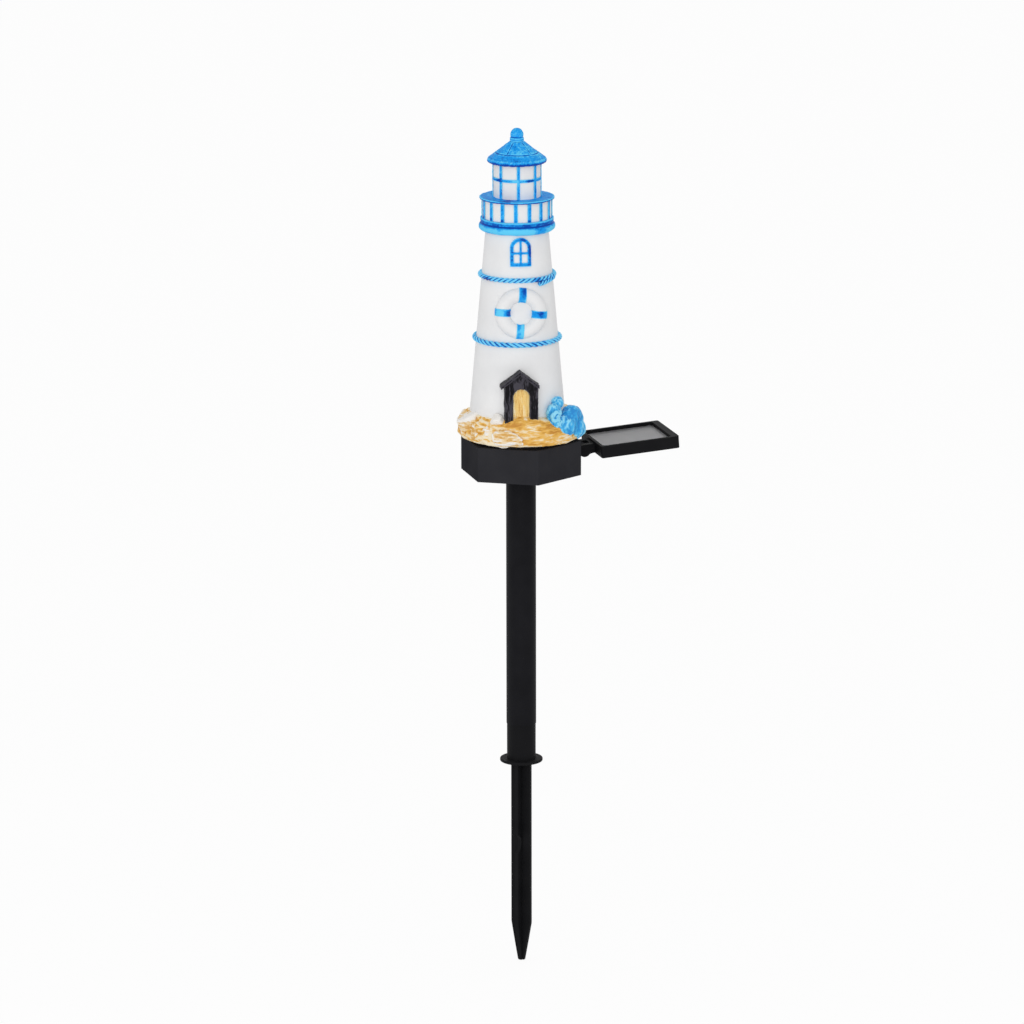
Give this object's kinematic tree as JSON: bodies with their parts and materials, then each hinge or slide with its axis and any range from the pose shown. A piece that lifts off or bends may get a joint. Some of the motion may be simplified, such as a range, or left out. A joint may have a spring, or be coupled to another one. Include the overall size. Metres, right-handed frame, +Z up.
{
  "type": "solar garden light",
  "caption": "Solar garden stake light with a painted lighthouse statue on a hexagonal black lamp base, a tilting solar panel, a pole and a ground spike.",
  "frame": {"origin": "centre of the underside of the ground flange, where the spike enters the ground", "axes": "+Z up the pole and the statue; +X toward the solar panel, square to one flat of the base; -Y toward the viewer, with the statue's door turned ten degrees from it"},
  "size_m": [0.1402, 0.079, 0.5505],
  "materials": {
    "black_plastic": "satin",
    "pole_plastic": "satin",
    "holder_plastic": "matte",
    "seal_rubber": "matte",
    "screw_steel": "satin",
    "window_plastic": "gloss",
    "board_laminate": "satin",
    "inductor_sleeve": "gloss",
    "lamp_lens": "gloss",
    "battery_sleeve": "gloss",
    "lead_insulation": "satin",
    "cell_silicon": "gloss",
    "cell_clear": "gloss",
    "statue_white": "matte",
    "statue_blue": "satin",
    "statue_black": "gloss",
    "statue_sand": "matte",
    "statue_rock": "matte",
    "statue_water": "satin"
  },
  "bodies": {
    "stake": {"ground_spike": "black_plastic", "pole_tube": "pole_plastic"},
    "head": {"base_housing": "black_plastic", "base_cover": "black_plastic", "base_seal": "seal_rubber", "cover_screws": "screw_steel", "light_window": "window_plastic", "circuit_board": "board_laminate", "board_screws": "screw_steel", "driver_chip": "holder_plastic", "inductor": "inductor_sleeve", "led_lamp": "lamp_lens", "switch_body": "holder_plastic", "battery_holder": "holder_plastic", "battery_cell": "battery_sleeve", "positive_contact": "screw_steel", "negative_contact": "screw_steel", "battery_leads": "lead_insulation", "tower_shell": "statue_white", "rock_base": "statue_sand", "boulders": "statue_rock", "wave": "statue_water", "porch": "statue_black", "porch_roof": "statue_black", "door": "statue_sand", "lower_rope": "statue_blue", "upper_rope": "statue_blue", "life_ring": "statue_white", "life_ring_bands": "statue_blue", "window_frame": "statue_blue", "window_panes": "statue_white", "gallery_band": "statue_blue", "gallery_wall": "statue_white", "gallery_posts": "statue_blue", "gallery_rail": "statue_blue", "lantern_drum": "statue_white", "lantern_bars": "statue_blue", "roof": "statue_blue", "finial": "statue_blue"},
    "panel": {"panel_tray": "black_plastic", "hinge_pin": "screw_steel", "cell_backing": "board_laminate", "solar_cell": "cell_silicon", "cell_cover": "cell_clear"},
    "button": {"switch_button": "holder_plastic"}
  },
  "joints": [
    {"name": "head_swivel", "type": "hinge", "parent": "stake", "child": "head", "pos_m": [0, 0, 0.192], "axis": [0, 0, 1], "continuous": true},
    {"name": "panel_tilt", "type": "hinge", "parent": "head", "child": "panel", "pos_m": [0.0403, 0, 0.2047], "axis": [0, -1, 0], "range_deg": [-85, 35]},
    {"name": "switch_press", "type": "slide", "parent": "head", "child": "button", "axis": [0, 0, 1], "range_m": [0, 0.0015], "stiffness_N_per_m": 800, "springref_m": -0.0005}
  ]
}
